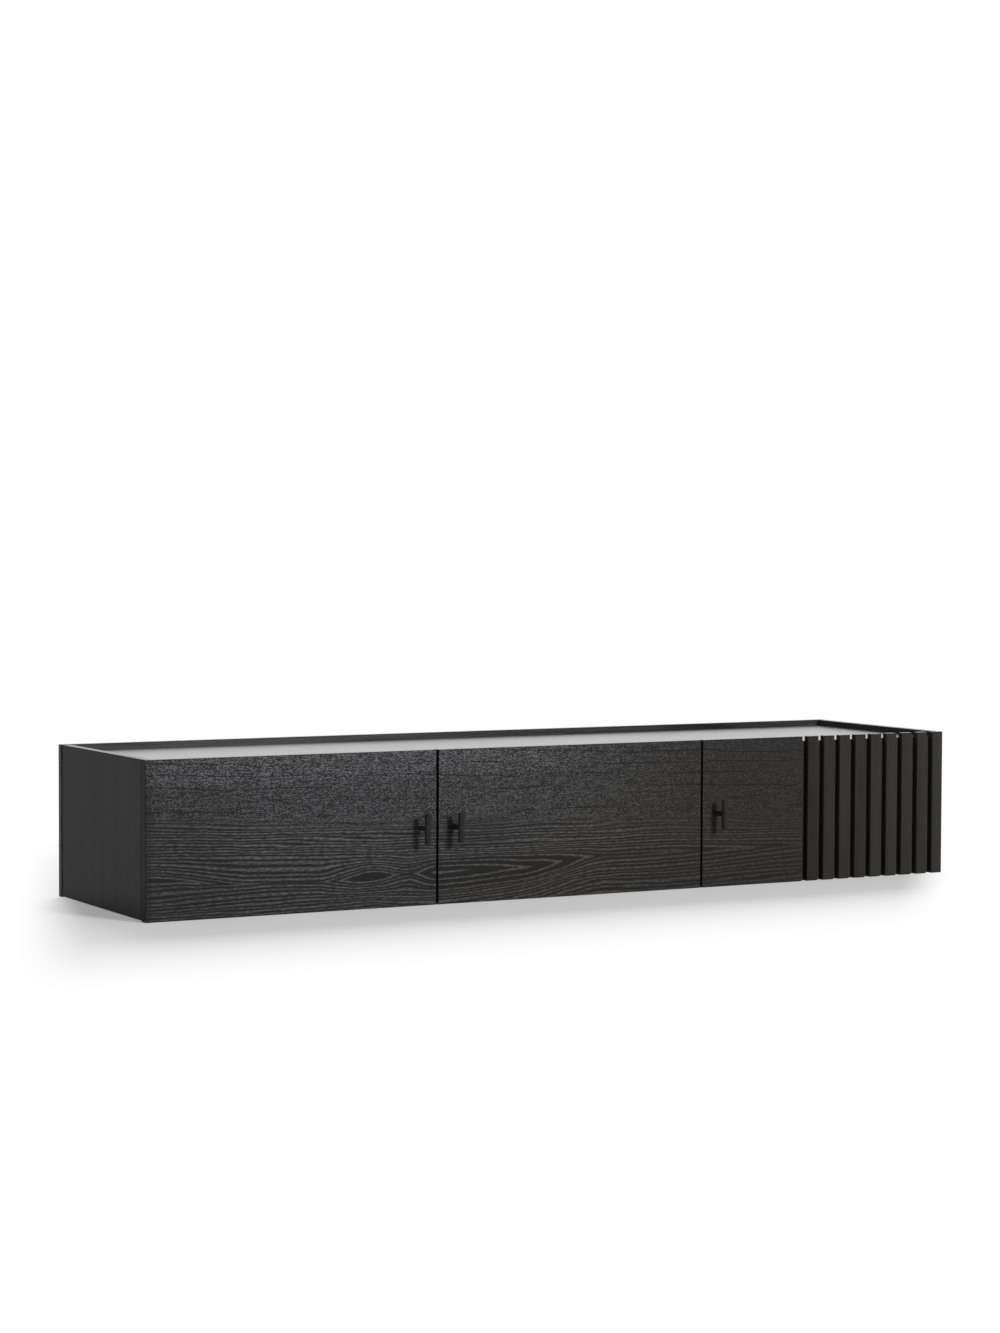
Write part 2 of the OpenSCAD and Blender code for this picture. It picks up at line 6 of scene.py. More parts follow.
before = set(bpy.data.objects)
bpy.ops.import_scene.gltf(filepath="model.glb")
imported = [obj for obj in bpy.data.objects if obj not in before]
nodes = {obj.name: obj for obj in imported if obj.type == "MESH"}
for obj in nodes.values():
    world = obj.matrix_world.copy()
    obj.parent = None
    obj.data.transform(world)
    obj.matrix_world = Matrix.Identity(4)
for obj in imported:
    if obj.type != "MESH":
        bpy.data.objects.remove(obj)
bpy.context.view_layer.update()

# Millimetres in a metre
MM = 1000.0

# Outer faces of the sideboard, in mm
LEFT_END = -900.0
RIGHT_END = 900.0
WIDTH = RIGHT_END - LEFT_END
FRONT = -450.0


# Shader building

# A pair named SPAN holds the values at which a smooth step is 0 and 1.
# Share of a normal along one axis: on chamfers, on faces that look up, and on broad faces of the fronts
CHAMFER_SPAN = (0.95, 0.82)
UP_SPAN = (0.90, 0.98)
BROAD_FACE_SPAN = (0.85, 0.97)
# Roughness of wood on its chamfers, and on narrow edges that look up
CHAMFER_ROUGHNESS = 0.9
SATIN = 0.12


class Num:
    """A number that varies over a surface. Arithmetic on it adds Math nodes."""

    def __init__(self, shade, socket):
        self.shade = shade
        self.socket = socket

    def _math(self, operation, *others, clamp=False):
        return self.shade.math(operation, self, *others, clamp=clamp)

    def __add__(self, other):
        return self._math("ADD", other)

    __radd__ = __add__

    def __sub__(self, other):
        return self._math("SUBTRACT", other)

    def __rsub__(self, other):
        return self.shade.math("SUBTRACT", other, self)

    def __mul__(self, other):
        return self._math("MULTIPLY", other)

    def __truediv__(self, other):
        return self._math("DIVIDE", other)

    def __abs__(self):
        return self._math("ABSOLUTE")

    def root(self):
        return self._math("SQRT")

    def clamped(self):
        """The number itself, held between 0 and 1."""
        return self._math("ADD", 0.0, clamp=True)

    def wave(self):
        """0 at each whole number and 1 half-way between two, with straight flanks."""
        return 1.0 - abs(self._math("FRACT") * 2.0 - 1.0)

    def step(self, low, high):
        """Smooth step: 0 below low and 1 above high, or the other way round if low is above high."""
        node = self.shade.node("ShaderNodeMapRange")
        node.interpolation_type = "SMOOTHSTEP"
        self.shade.put(node.inputs["Value"], self)
        ends = sorted(((low, 0.0), (high, 1.0)))
        for end, (place, value) in zip(("Min", "Max"), ends):
            node.inputs["From " + end].default_value = place
            node.inputs["To " + end].default_value = value
        return Num(self.shade, node.outputs["Result"])

    def profile(self, start, slopes):
        """A number that is start on the left and changes by the rise of each slope between its places."""
        total = start
        for low, high, rise in slopes:
            total = self.step(low, high) * rise + total
        return total


def between(share, low, high):
    """The number that is low where share is 0 and high where it is 1."""
    return share * (high - low) + low


class Shade:
    """One material under construction, with the place and the normal of each of its points."""

    def __init__(self, name):
        self.material = bpy.data.materials.new(name)
        self.material.use_nodes = True
        self.tree = self.material.node_tree
        self.tree.nodes.clear()
        self.output = self.node("ShaderNodeOutputMaterial")
        coordinates = self.node("ShaderNodeTexCoord")
        self.xyz = [part * MM for part in self.parts(coordinates.outputs["Object"])]
        self.normal = self.parts(coordinates.outputs["Normal"])

    def node(self, kind):
        return self.tree.nodes.new(kind)

    def surface(self, shader):
        """Give the surface this shader."""
        self.tree.links.new(shader, self.output.inputs["Surface"])

    def put(self, socket, value):
        """Set an input to a plain value, or link it to a number or to another node's output."""
        if isinstance(value, Num):
            value = value.socket
        if isinstance(value, bpy.types.NodeSocket):
            self.tree.links.new(value, socket)
        else:
            socket.default_value = value

    def parts(self, vector):
        """The three numbers of a vector."""
        split = self.node("ShaderNodeSeparateXYZ")
        self.put(split.inputs[0], vector)
        return [Num(self, output) for output in split.outputs]

    def math(self, operation, *values, clamp=False):
        node = self.node("ShaderNodeMath")
        node.operation = operation
        node.use_clamp = clamp
        for socket, value in zip(node.inputs, values):
            self.put(socket, value)
        return Num(self, node.outputs[0])

    def noise(self, point, sizes, detail=2.0, roughness=0.5, shift=0.0):
        """Noise from 0 to 1 about 0.5, whose spots are as long as sizes, in mm, along each direction."""
        vector = self.node("ShaderNodeCombineXYZ")
        for socket, place, size in zip(vector.inputs, point, sizes):
            self.put(socket, place / size + shift)
        node = self.node("ShaderNodeTexNoise")
        self.put(node.inputs["Vector"], vector.outputs[0])
        node.inputs["Scale"].default_value = 1.0
        node.inputs["Detail"].default_value = detail
        node.inputs["Roughness"].default_value = roughness
        return Num(self, node.outputs[0])

    def mix(self, share, low, high):
        """Colour between low and high, each a colour or a socket."""
        node = self.node("ShaderNodeMix")
        node.data_type = "RGBA"
        self.put(node.inputs[0], share)
        for socket, value in ((node.inputs[6], low), (node.inputs[7], high)):
            self.put(socket, (*value, 1.0) if isinstance(value, tuple) else value)
        return node.outputs[2]


class Finish(Shade):
    """The finish of a piece: a principled shader, and the nodes that feed it."""

    def __init__(self, name, roughness, specular, metallic=0.0, coat=0.0):
        super().__init__(name)
        self.bsdf = self.node("ShaderNodeBsdfPrincipled")
        self.bsdf.inputs["Roughness"].default_value = roughness
        self.bsdf.inputs["Specular IOR Level"].default_value = specular
        self.bsdf.inputs["Metallic"].default_value = metallic
        self.bsdf.inputs["Coat Weight"].default_value = coat
        self.bsdf.inputs["Coat Roughness"].default_value = roughness
        self.surface(self.bsdf.outputs["BSDF"])

    def chamfer(self):
        """1 on the chamfers along the edges, and 0 on the faces."""
        x, y, z = (abs(part) for part in self.normal)
        steepest = self.math("MAXIMUM", self.math("MAXIMUM", x, y), z)
        return steepest.step(*CHAMFER_SPAN)

    def colour(self, value):
        self.put(self.bsdf.inputs["Base Color"], value)

    def rough(self, value):
        self.put(self.bsdf.inputs["Roughness"], value)

    def rough_wood(self, value, satin):
        """Roughness of a board: value on its faces, CHAMFER_ROUGHNESS on its chamfers, and satin where it looks up."""
        up = self.normal[2].step(*UP_SPAN)
        self.rough(between(up, between(self.chamfer(), value, CHAMFER_ROUGHNESS), satin))

    def bump(self, height, depth):
        """Relief of the given depth in mm where height runs from 0 to 1."""
        node = self.node("ShaderNodeBump")
        node.inputs["Strength"].default_value = 1.0
        node.inputs["Distance"].default_value = depth / MM
        self.put(node.inputs["Height"], height)
        self.put(self.bsdf.inputs["Normal"], node.outputs[0])

    def use_on(self, *names):
        for name in names:
            mesh = nodes[name].data
            mesh.materials.clear()
            mesh.materials.append(self.material)

    def use_on_endings(self, *endings):
        """Use it on each node whose name ends in one of the endings."""
        self.use_on(*[name for name in nodes if name.endswith(endings)])


# Straight-grained wood

# Which of x, y and z runs along the grain, across it and into the board
LONG_UPRIGHT = (0, 2, 1)
LONG_FLAT = (0, 1, 2)
TALL_SIDE = (2, 1, 0)
TALL_FRONT = (2, 0, 1)

# Noise: length of its spots along the grain, across it and into the board in mm, detail and roughness
WIDE_STREAK = ((480.0, 36.0, 36.0), 2.0, 0.5)
FINE_STREAK = ((160.0, 3.0, 3.0), 3.0, 0.6)
PORE = ((14.0, 0.8, 0.8), 1.0, 0.5)
PORE_SPAN = (0.60, 0.72)
# These shifts, in spots, keep the three apart
FINE_SHIFT = 7.3
PORE_SHIFT = 3.1
# What streaks and pores add: to the tone, to the roughness, and to the relief as shares of its depth
STREAK_TONE = 2.2
PORE_TONE = -0.35
STREAK_ROUGHNESS = 0.12
PORE_ROUGHNESS = 0.1
STREAK_RELIEF = 0.4
PORE_RELIEF = -0.6


def straight_grain(
    name, axes, dark, light, roughness, specular, shift=0.0, relief=0.03, satin=SATIN, coat=0.0, painted_falloff=0.0
):
    """Smooth stained wood, whose colour runs from dark to light.

    axes is one of the four directions of the grain, shift moves the pattern, and relief is its depth in mm.
    satin is the roughness where the board looks up. The last argument is painted shade: the tone falls by it
    from the left end of the sideboard to its right end, for light that falls off to the right.
    """
    wood = Finish(name, roughness, specular, coat=coat)
    point = [wood.xyz[axis] for axis in axes]
    wide = wood.noise(point, *WIDE_STREAK, shift)
    fine = wood.noise(point, *FINE_STREAK, shift + FINE_SHIFT)
    pore = wood.noise(point, *PORE, shift + PORE_SHIFT).step(*PORE_SPAN)
    tone = (wide * 0.5 + fine * 0.5 - 0.5) * STREAK_TONE + 0.5 - wood.xyz[0] * (painted_falloff / WIDTH)
    # The chamfers are darker
    tone = tone + pore * PORE_TONE - wood.chamfer()
    wood.colour(wood.mix(tone.clamped(), dark, light))
    wood.rough_wood(roughness + (fine - 0.5) * STREAK_ROUGHNESS + pore * PORE_ROUGHNESS, satin)
    wood.bump(fine * STREAK_RELIEF + pore * PORE_RELIEF, relief)
    return wood


# Grain figure of the fronts

# The figure is a family of light lines. Each follows points of one ring number, in mm, and that number grows
# away from a line that the figure folds about. The tables list slopes along X: where one starts, where it
# ends, and its rise.
# Height of the line that the figure folds about
FOLD_START = -74.0
FOLD = (
    (-900.0, -700.0, -13.0),
    (-680.0, -520.0, -5.0),
    (-530.0, -430.0, 5.0),
    (-120.0, 70.0, 15.0),
)
# Ring number on that line, to which the distance from the line adds
NEAR_START = 7.7
NEAR = (
    (-900.0, -640.0, 12.3),
    (-560.0, -440.0, -16.3),
    (-436.0, -366.0, 11.8),
    (-362.0, -300.0, -15.5),
    (-260.0, -40.0, 12.0),
    (-110.0, 90.0, 30.0),
    (120.0, 700.0, 22.0),
)
# What stands in for it further below the line
BELOW_START = -6.0
BELOW = (
    (-900.0, -700.0, 16.0),
    (-680.0, -520.0, 7.0),
    (-530.0, -300.0, -12.0),
    (-330.0, 120.0, 38.0),
    (100.0, 700.0, 16.0),
)
# Further above the line, the ring number is ABOVE plus the height, so that the rings run straight. They
# fall to the right by the share FALL.
ABOVE = 120.0
FALL = 0.042
# Heights over the fold between which these two take over
ABOVE_SPAN = (5.0, 50.0)
BELOW_SPAN = (-5.0, -45.0)
# How blunt the fold is, in square mm
FOLD_BLUNT = 2.0

# Distance between two wide lines at the left and at the right, and where along X it changes
PITCH_LEFT = 12.0
PITCH_RIGHT = 16.5
PITCH_SPAN = (-400.0, 300.0)
# The ring number whose line stays where it is when the distance changes, and the number of that line
PIVOT_RING = 38.0
PIVOT_LINE = 3.5
# Brightness of a line by its wave, which is highest along the middle of the line
WIDE_SPAN = (0.50, 0.95)
NARROW_SPAN = (0.32, 0.92)
# A narrow line lies between two wide ones, but not inside the folds: it starts at these ring numbers on the
# left and on the right of a place along X
NARROW_LIGHT = 0.85
NARROW_LEFT_SPAN = (12.0, 17.0)
NARROW_RIGHT_SPAN = (36.0, 50.0)
NARROW_PLACE_SPAN = (-290.0, -400.0)

# Noise of the fronts: length of its spots along X, up Z and along Y in mm, detail, roughness and shift
WANDER = ((260.0, 70.0, 90.0), 2.0, 0.5, 4.0)
RIPPLE = ((45.0, 12.0, 30.0), 2.0, 0.5, 11.0)
UNEVEN = ((300.0, 26.0, 40.0), 3.0, 0.5, 2.0)
DASH = ((11.0, 2.6, 6.0), 2.0, 0.6, 1.0)
SPECK = ((3.7, 1.8, 6.0), 1.0, 0.6, 9.0)
STREAK = ((40.0, 2.6, 30.0), 2.0, 0.6, 6.0)
BROAD = ((240.0, 26.0, 60.0), 2.0, 0.5, 5.0)
# How far noise moves the rings, in mm, and the lines, as a share of their distance. The second kind sets in
# over this span of distances from the fold.
WANDER_MM = 8.0
RIPPLE_MM = 4.0
UNEVEN_PITCHES = 1.4
UNEVEN_SPAN = (12.0, 60.0)
# The specks lean by this share. This depth in mm takes them off the grid of the noise, which looks woven.
SPECK_LEAN = 0.3
SPECK_DEPTH = 2.2


def figure_lines(wood, point, wander):
    """Brightness of the light lines, from 0 to 1."""
    x, z, _ = point
    ripple = wood.noise(point, *RIPPLE) - 0.5
    fold = x.profile(FOLD_START, FOLD)
    height = z - fold + wander * WANDER_MM + ripple * RIPPLE_MM
    near = x.profile(NEAR_START, NEAR)
    above = fold + x * FALL + ABOVE - near
    below = x.profile(BELOW_START, BELOW) - near
    ring = (height * height + FOLD_BLUNT).root() + near
    ring = ring + above * height.step(*ABOVE_SPAN) + below * height.step(*BELOW_SPAN)
    pitch = between(x.step(*PITCH_SPAN), PITCH_LEFT, PITCH_RIGHT)
    uneven = (wood.noise(point, *UNEVEN) - 0.5) * UNEVEN_PITCHES * abs(height).step(*UNEVEN_SPAN)
    lines = (ring - PIVOT_RING) / pitch + PIVOT_LINE + uneven
    wide = lines.wave().step(*WIDE_SPAN)
    outside = (x.step(*NARROW_PLACE_SPAN) + ring.step(*NARROW_RIGHT_SPAN)).clamped()
    outside = outside * ring.step(*NARROW_LEFT_SPAN)
    narrow = (lines * 2.0 + 0.5).wave().step(*NARROW_SPAN) * outside * NARROW_LIGHT
    return wood.math("MAXIMUM", wide, narrow)


# Tone of the fronts

# The upper part, over a wavering edge at these heights in mm, shows specks, and the lower part shows lines
UPPER_SPAN = (-26.0, 14.0)
UPPER_WAVER = 60.0
# Specks: the noise from which they show, what streaks add to it, and their least and most light in the upper
# part. The lower part has only a trace of them.
SPECK_SPAN = (0.39, 0.72)
SPECK_STREAKS = 0.4
SPECK_LIGHT = (0.04, 0.95)
SPECK_TRACE = 0.08
# Lines: they break up into dashes of less and more light, and are somewhat lighter over this height
DASH_SPAN = (0.38, 0.60)
DASH_LIGHT = (0.21, 0.79)
LINE_HEIGHT_SPAN = (-95.0, -40.0)
LINE_GAIN = (1.0, 1.2)
# Seams are thin dark lines across the upper part: their distance and how far they wander, in mm, by what
# share they fall to the right, how wide they are, which patches of noise show them, and how dark they are
SEAM_PITCH = 23.0
SEAM_WANDER = 30.0
SEAM_FALL = 0.03
SEAM_SPAN = (0.14, 0.04)
SEAM_PATCH_SPAN = (0.44, 0.54)
SEAM_DEPTH = 0.35
# Soft patches, partly wood tone and partly painted light and shade: how much lighter one is, and the steps
# along X and up Z that bound it
TONE_AND_LIGHT_PATCHES = (
    # Painted light: the uppermost part of the left and middle doors, most of it away from the left end
    (0.27, ((-900.0, -700.0), (250.0, -150.0)), ((88.0, 112.0),)),
    (0.08, ((250.0, -150.0),), ((88.0, 112.0),)),
    # Painted shade: what lies under it, and more so near the left end
    (-0.13, ((50.0, -300.0),), ((108.0, 82.0),)),
    (-0.22, ((-660.0, -790.0),), ((108.0, 82.0),)),
    # The folds of the middle door
    (-0.22, ((-340.0, -260.0), (-90.0, -170.0)), ((30.0, 5.0), (-50.0, -25.0))),
    # Painted shade: the last few mm at the left end, where the door meets the side
    (-0.30, ((-880.0, -897.0),), ()),
)
# Painted shade, for light that falls off to the right: where along X the fronts grow darker to the right,
# and by how much in the lower and in the upper part
RIGHT_SHADE_SPAN = (-400.0, 500.0)
RIGHT_SHADE_LOWER = 0.60
RIGHT_SHADE_UPPER = 0.72

# The colour is cool and paler at the upper left and warm at the lower right: the warmth is the stain, and
# the cool, paler upper left is painted light. Along X it turns over this length in mm, down Z this many
# times as fast, and at the middle it is warm by this share.
WARM_LENGTH = 1400.0
WARM_DOWN = 2.0
WARM_MIDDLE = 0.35
COOL_DARK = (0.0190, 0.0190, 0.0195)
WARM_DARK = (0.0212, 0.0190, 0.0160)
COOL_PALE = (0.128, 0.128, 0.134)
WARM_PALE = (0.124, 0.112, 0.096)
BOARD_EDGE = (0.010, 0.010, 0.010)
# Roughness of the dark ground, what the light grain adds to it, and how deep it is brushed, in mm
GROUND_ROUGHNESS = 0.42
GRAIN_ROUGHNESS = 0.1
BRUSHED_DEPTH = 0.12


def tone_and_light_patches(x, z):
    """Sum of the soft patches, of wood tone and of painted light and shade."""
    total = 0.0
    for gain, along_x, up_z in TONE_AND_LIGHT_PATCHES:
        for step in [x.step(*span) for span in along_x] + [z.step(*span) for span in up_z]:
            gain = step * gain
        total = gain + total
    return total


def brushed_front():
    """Brushed, black-stained plain-sawn boards: the grain runs along X, unbroken from door to door."""
    wood = Finish("brushed_black_wood", roughness=0.4, specular=0.03)
    x, y, z = wood.xyz
    point = (x, z, y)
    wander = wood.noise(point, *WANDER) - 0.5
    broad = wood.noise(point, *BROAD)
    upper = (z + x * FALL + (broad - 0.5) * UPPER_WAVER).step(*UPPER_SPAN)

    speck = wood.noise((x + z * SPECK_LEAN, z, y + SPECK_DEPTH), *SPECK)
    streak = wood.noise(point, *STREAK) - 0.5
    specks = (speck + streak * SPECK_STREAKS).step(*SPECK_SPAN)
    dashes = between(wood.noise(point, *DASH).step(*DASH_SPAN), *DASH_LIGHT)
    lines = figure_lines(wood, point, wander) * dashes * between(z.step(*LINE_HEIGHT_SPAN), *LINE_GAIN)
    grain = between(upper, lines + specks * SPECK_TRACE, between(specks, *SPECK_LIGHT))
    seam = ((z + x * SEAM_FALL + wander * SEAM_WANDER) / SEAM_PITCH).wave().step(*SEAM_SPAN)
    seam = seam * broad.step(*SEAM_PATCH_SPAN) * upper * SEAM_DEPTH
    # level holds painted light and shade: the fronts grow darker to the right, and the lit and shaded
    # patches
    level = 1.0 - x.step(*RIGHT_SHADE_SPAN) * between(upper, RIGHT_SHADE_LOWER, RIGHT_SHADE_UPPER) + tone_and_light_patches(x, z)
    light = (grain * level - seam).clamped()

    warmth = ((x - z * WARM_DOWN) / WARM_LENGTH + WARM_MIDDLE).clamped()
    dark = wood.mix(warmth, COOL_DARK, WARM_DARK)
    pale = wood.mix(warmth, COOL_PALE, WARM_PALE)
    face = abs(wood.normal[1]).step(*BROAD_FACE_SPAN)
    wood.colour(wood.mix(face, BOARD_EDGE, wood.mix(light, dark, pale)))
    wood.rough_wood(GROUND_ROUGHNESS + light * face * GRAIN_ROUGHNESS, SATIN)
    wood.bump(light * face, BRUSHED_DEPTH)
    return wood


# Wood on the parts

# The slats, which lie in a little more light from one to the next
SLAT_COUNT = 9
SLAT_DARK = (0.0200, 0.0184, 0.0162)
SLAT_LIGHT = (0.0360, 0.0338, 0.0306)
FIRST_SLAT_GAIN = 1.0
SLAT_GAIN_STEP = 0.05
LAST_SLAT_GAIN = 1.2
# How far the grain moves from one slat to the next, in spots of its noise
SLAT_SHIFT = 1.7


def slats():
    for index in range(SLAT_COUNT):
        gain = min(FIRST_SLAT_GAIN + SLAT_GAIN_STEP * index, LAST_SLAT_GAIN)
        number = index + 1
        straight_grain(
            "slat_wood_%d" % number,
            TALL_FRONT,
            dark=tuple(part * gain for part in SLAT_DARK),
            light=tuple(part * gain for part in SLAT_LIGHT),
            roughness=0.42,
            specular=0.03,
            shift=SLAT_SHIFT * number,
        ).use_on("slat_%d" % number)


brushed_front().use_on("left_door", "middle_door", "right_door_panel")
slats()
# Painted light: the back board is paler than the other black wood, and darker to the right
straight_grain(
    "back_board_wood_painted_light",
    LONG_UPRIGHT,
    dark=(0.018, 0.017, 0.016),
    light=(0.100, 0.100, 0.103),
    roughness=0.5,
    specular=0.03,
    shift=6.0,
    painted_falloff=0.7,
).use_on("back_board")
straight_grain(
    "side_wood",
    TALL_SIDE,
    dark=(0.030, 0.030, 0.030),
    light=(0.043, 0.043, 0.043),
    roughness=0.3,
    specular=0.012,
).use_on("left_side", "right_side")
straight_grain(
    "top_wood",
    LONG_FLAT,
    dark=(0.016, 0.016, 0.016),
    light=(0.030, 0.030, 0.030),
    roughness=0.29,
    specular=0.5,
    relief=0.002,
    satin=0.29,
    coat=0.8,
).use_on("top_panel")
straight_grain(
    "carcass_wood",
    LONG_FLAT,
    dark=(0.016, 0.016, 0.015),
    light=(0.030, 0.029, 0.028),
    roughness=0.5,
    specular=0.2,
    shift=2.0,
    satin=0.5,
).use_on("bottom_panel", "left_partition", "right_partition")
straight_grain(
    "liner_wood",
    LONG_UPRIGHT,
    dark=(0.022, 0.021, 0.020),
    light=(0.042, 0.041, 0.039),
    roughness=0.6,
    specular=0.05,
    shift=8.0,
).use_on("back_liner")
# Painted light: the backing is paler than the other black wood, lifting the shade in the slat gaps
straight_grain(
    "backing_wood_painted_light",
    TALL_FRONT,
    dark=(0.040, 0.038, 0.035),
    light=(0.066, 0.063, 0.058),
    roughness=0.6,
    specular=0.05,
    shift=5.0,
).use_on("right_door_backing")
straight_grain(
    "beech",
    LONG_FLAT,
    dark=(0.45, 0.28, 0.13),
    light=(0.58, 0.40, 0.21),
    roughness=0.6,
    specular=0.3,
    shift=3.0,
).use_on("carcass_dowels")


# Metal, plastic and rubber

# Share of its colour that a coated piece keeps where it is dimmest, the size of its clouds in mm, and what
# its skin adds to the roughness
DIMMEST = 0.75
CLOUD_MM = 30.0
SKIN_ROUGHNESS = 0.15

STEEL_DARK = (0.44, 0.43, 0.41)
STEEL_LIGHT = (0.62, 0.61, 0.59)
ROLLING_MARKS = ((12.0, 12.0, 0.25), 2.0, 0.6)
STEEL_CLOUD = ((9.0, 9.0, 9.0), 2.0, 0.5)
# Roughness of the steel, what marks and cloud add to it, and the depth of the marks in mm
STEEL_ROUGHNESS = 0.24
MARKS_ROUGHNESS = 0.12
CLOUD_ROUGHNESS = 0.08
MARKS_DEPTH = 0.01


def coated(name, colour, roughness, specular, grain, depth):
    """Powder coat, moulded plastic or rubber: an even colour, and a skin of this grain and depth in mm."""
    coat = Finish(name, roughness, specular)
    skin = coat.noise(coat.xyz, (grain, grain, grain))
    cloud = coat.noise(coat.xyz, (CLOUD_MM, CLOUD_MM, CLOUD_MM))
    dim = tuple(part * DIMMEST for part in colour)
    coat.colour(coat.mix((skin * 0.6 + cloud * 0.4).clamped(), dim, colour))
    coat.rough(roughness + (skin - 0.5) * SKIN_ROUGHNESS)
    coat.bump(skin, depth)
    return coat


def plated_steel():
    """Nickel-plated pressed steel with faint rolling marks."""
    steel = Finish("plated_steel", roughness=0.3, specular=0.5, metallic=1.0)
    marks = steel.noise(steel.xyz, *ROLLING_MARKS)
    cloud = steel.noise(steel.xyz, *STEEL_CLOUD)
    steel.colour(steel.mix((marks * 0.5 + cloud * 0.5).clamped(), STEEL_DARK, STEEL_LIGHT))
    steel.rough(STEEL_ROUGHNESS + marks * MARKS_ROUGHNESS + cloud * CLOUD_ROUGHNESS)
    steel.bump(marks, MARKS_DEPTH)
    return steel


black_coat = coated(
    "black_powder_coat", (0.028, 0.0265, 0.025), roughness=0.3, specular=0.06, grain=0.5, depth=0.003
)
black_coat.use_on_endings("handle_bar", "handle_post")
black_plastic = coated(
    "black_plastic", (0.022, 0.022, 0.022), roughness=0.5, specular=0.4, grain=0.8, depth=0.03
)
black_plastic.use_on("cable_grommets")
black_rubber = coated(
    "black_rubber", (0.03, 0.03, 0.03), roughness=0.7, specular=0.3, grain=0.4, depth=0.02
)
black_rubber.use_on_endings("bumpers")
plated_steel().use_on_endings(
    "plates", "screws", "screw", "arms", "links", "housings", "discs", "bolts", "washers"
)


# Floor and background

# The floor lies half a millimetre under the sideboard and reaches this far to each side, in metres
FLOOR_Z = -0.1495
FLOOR_REACH = 30.0
FLOOR_COLOUR = (0.66, 0.66, 0.66, 1.0)
# Its own glow where it keeps the shadow
FLOOR_GLOW = 0.25
# Where the kept shadow fades out, in mm: forwards of the fronts, backwards along Y, and outwards of the two
# ends, where its edge slants by a share of the way along Y
SHADOW_FRONT_SPAN = (150.0, 760.0)
SHADOW_BACK_SPAN = (-200.0, 3300.0)
SHADOW_LEFT_SPAN = (-60.0, 90.0)
SHADOW_LEFT_SLANT = 0.37
SHADOW_RIGHT_SPAN = (-110.0, 30.0)
SHADOW_RIGHT_SLANT = 0.8

# Rays that see floor and background as a picture shows them. The others carry light to the object.
SEEING_RAYS = ("Is Camera Ray", "Is Glossy Ray", "Is Transmission Ray")
# Strength of the light that the surroundings cast on the object
WORLD_FILL = 0.19


def joined(tree, kind, *sources):
    """Output of a new node of this kind, whose inputs are linked to the sources in their order."""
    node = tree.nodes.new(kind)
    for socket, source in zip(node.inputs, sources):
        tree.links.new(source, socket)
    return node.outputs[0]


def seeing(tree):
    """Output that is 1 for the seeing rays and 0 for all others."""
    path = tree.nodes.new("ShaderNodeLightPath")
    rays = path.outputs[SEEING_RAYS[0]]
    for name in SEEING_RAYS[1:]:
        rays = joined(tree, "ShaderNodeMath", rays, path.outputs[name])
        rays.node.operation = "MAXIMUM"
    return rays


def shadow_area(shade):
    """1 on the floor near the object, where it keeps the shadow, and 0 further out."""
    x, y, _ = shade.xyz
    front = shade.math("MAXIMUM", FRONT - y, 0.0)
    left = (LEFT_END - x + y * SHADOW_LEFT_SLANT).step(*SHADOW_LEFT_SPAN)
    right = (x - RIGHT_END + front * SHADOW_RIGHT_SLANT).step(*SHADOW_RIGHT_SPAN)
    ahead = front.step(*SHADOW_FRONT_SPAN)
    behind = y.step(*SHADOW_BACK_SPAN)
    return (1.0 - ahead) * (1.0 - left) * (1.0 - right) * (1.0 - behind)


def white_floor():
    """A pale floor that keeps the shadow near the object and turns white further out. Below it is clear."""
    mesh = bpy.data.meshes.new("floor")
    corners = [(-1, -1), (1, -1), (1, 1), (-1, 1)]
    mesh.from_pydata([(a * FLOOR_REACH, b * FLOOR_REACH, FLOOR_Z) for a, b in corners], [], [(0, 1, 2, 3)])
    floor = bpy.data.objects.new("floor", mesh)
    bpy.context.scene.collection.objects.link(floor)

    shade = Shade("floor")
    tree = shade.tree
    diffuse = shade.node("ShaderNodeBsdfDiffuse")
    diffuse.inputs["Color"].default_value = FLOOR_COLOUR
    glow = shade.node("ShaderNodeEmission")
    glow.inputs["Strength"].default_value = FLOOR_GLOW
    white = shade.node("ShaderNodeEmission")
    clear = shade.node("ShaderNodeBsdfTransparent")
    below = shade.node("ShaderNodeNewGeometry").outputs["Backfacing"]
    near = joined(tree, "ShaderNodeAddShader", diffuse.outputs[0], glow.outputs[0])
    seen = joined(tree, "ShaderNodeMixShader", shadow_area(shade).socket, white.outputs[0], near)
    top = joined(tree, "ShaderNodeMixShader", seeing(tree), diffuse.outputs[0], seen)
    shade.surface(joined(tree, "ShaderNodeMixShader", below, top, clear.outputs[0]))
    mesh.materials.append(shade.material)


def white_world():
    """White to the seeing rays, and a plain fill light to all others."""
    world = bpy.data.worlds.new("studio")
    bpy.context.scene.world = world
    world.use_nodes = True
    tree = world.node_tree
    tree.nodes.clear()
    output = tree.nodes.new("ShaderNodeOutputWorld")
    fill = tree.nodes.new("ShaderNodeBackground")
    fill.inputs["Strength"].default_value = WORLD_FILL
    white = tree.nodes.new("ShaderNodeBackground")
    white.inputs["Strength"].default_value = 1.0
    white.inputs["Color"].default_value = (1.0, 1.0, 1.0, 1.0)
    mixed = joined(tree, "ShaderNodeMixShader", seeing(tree), fill.outputs[0], white.outputs[0])
    tree.links.new(mixed, output.inputs["Surface"])


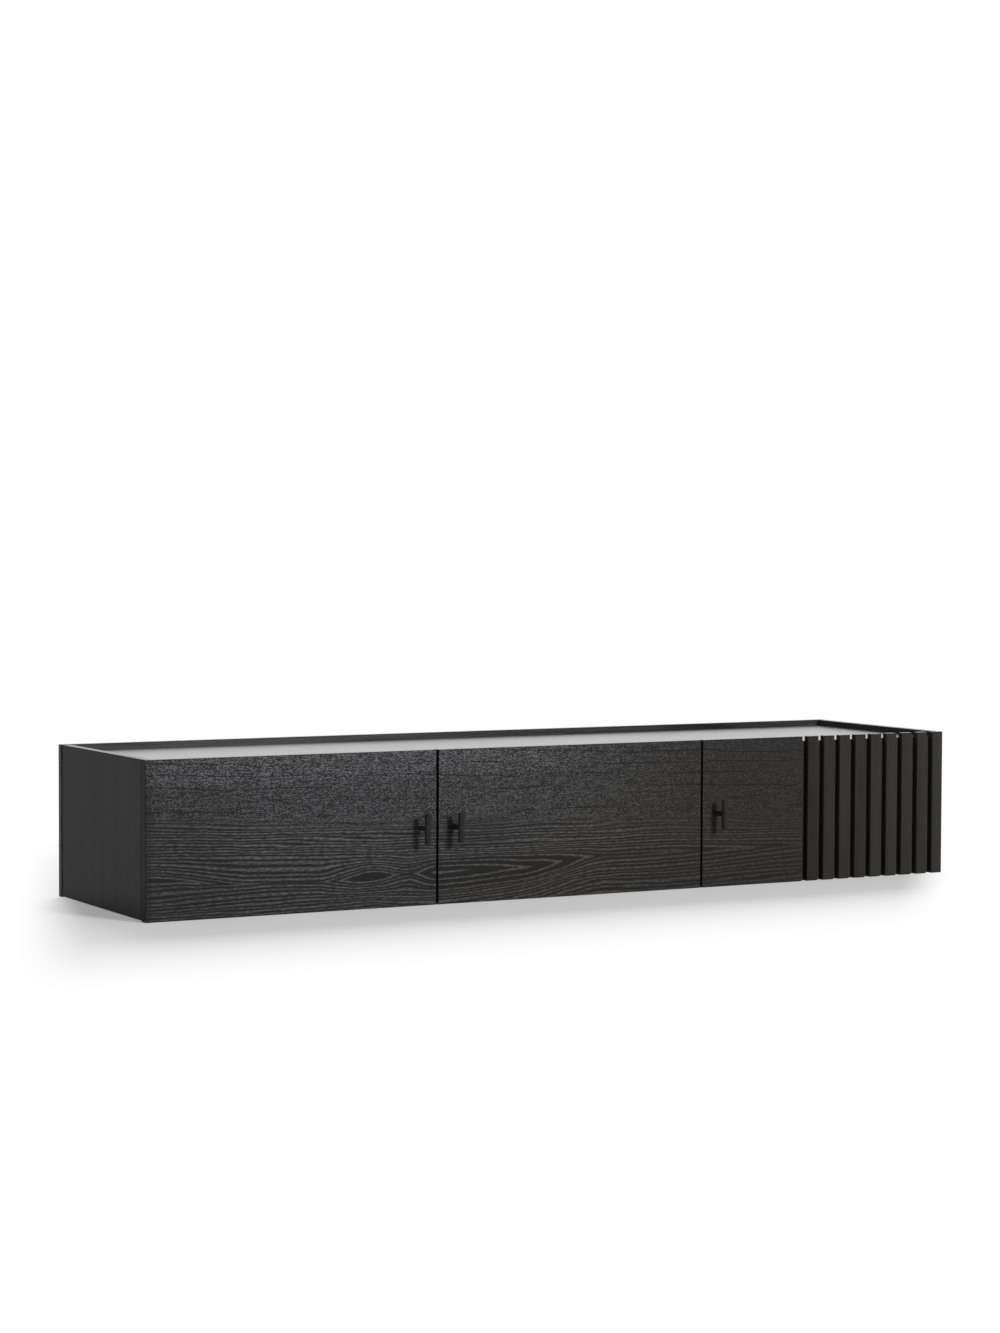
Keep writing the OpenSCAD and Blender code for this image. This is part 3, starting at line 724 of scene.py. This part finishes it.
# Lamps: name, place, target, size in m, power in W and colour
LAMPS = (
    ("key", (1.6, -6.3, 2.4), (0.0, -0.45, 0.0), 1.3, 330.0, (1.0, 1.0, 1.0)),
    ("left_fill", (-2.8, -1.2, 0.3), (-0.9, -0.3, -0.05), 1.2, 12.0, (0.94, 0.97, 1.0)),
    ("back", (0.6, 2.4, 2.6), (0.0, -0.4, -0.1), 2.2, 130.0, (1.0, 1.0, 1.0)),
)


def soft_lamp(name, place, target, size, power, colour):
    """A square softbox at place that faces target. Reflections show the white world and no lamp."""
    light = bpy.data.lights.new(name, "AREA")
    light.size = size
    light.energy = power
    light.color = colour
    lamp = bpy.data.objects.new(name, light)
    lamp.location = place
    lamp.rotation_mode = "QUATERNION"
    lamp.rotation_quaternion = (Vector(target) - Vector(place)).to_track_quat("-Z", "Y")
    lamp.visible_glossy = False
    bpy.context.scene.collection.objects.link(lamp)


white_floor()
white_world()
for lamp_row in LAMPS:
    soft_lamp(*lamp_row)


# Camera at the photograph's viewing angle

# Focal length and longer side of the picture, both in pixels
FOCAL_PX = 2995.0
FRAME_PX = 1333.0
SENSOR_MM = 36.0
CAMERA_AT = (-2.947, -5.528, 0.572)
# How far the camera turns right from looking along Y, how far it looks up, and how far its right side rises
YAW = math.radians(28.72)
PITCH = math.radians(-2.63)
ROLL = math.radians(0.22)


def photo_camera():
    data = bpy.data.cameras.new("camera")
    data.sensor_fit = "AUTO"
    data.sensor_width = SENSOR_MM
    data.lens = FOCAL_PX / FRAME_PX * SENSOR_MM
    camera = bpy.data.objects.new("camera", data)
    bpy.context.scene.collection.objects.link(camera)
    forward = Vector((math.sin(YAW) * math.cos(PITCH), math.cos(YAW) * math.cos(PITCH), math.sin(PITCH)))
    level = Vector((math.cos(YAW), -math.sin(YAW), 0.0))
    rise = level.cross(forward)
    right = level * math.cos(ROLL) + rise * math.sin(ROLL)
    up = rise * math.cos(ROLL) - level * math.sin(ROLL)
    turn = Matrix((right, up, -forward)).transposed().to_4x4()
    camera.matrix_world = Matrix.Translation(Vector(CAMERA_AT)) @ turn
    bpy.context.scene.camera = camera


photo_camera()
bpy.context.scene.view_settings.view_transform = "Standard"
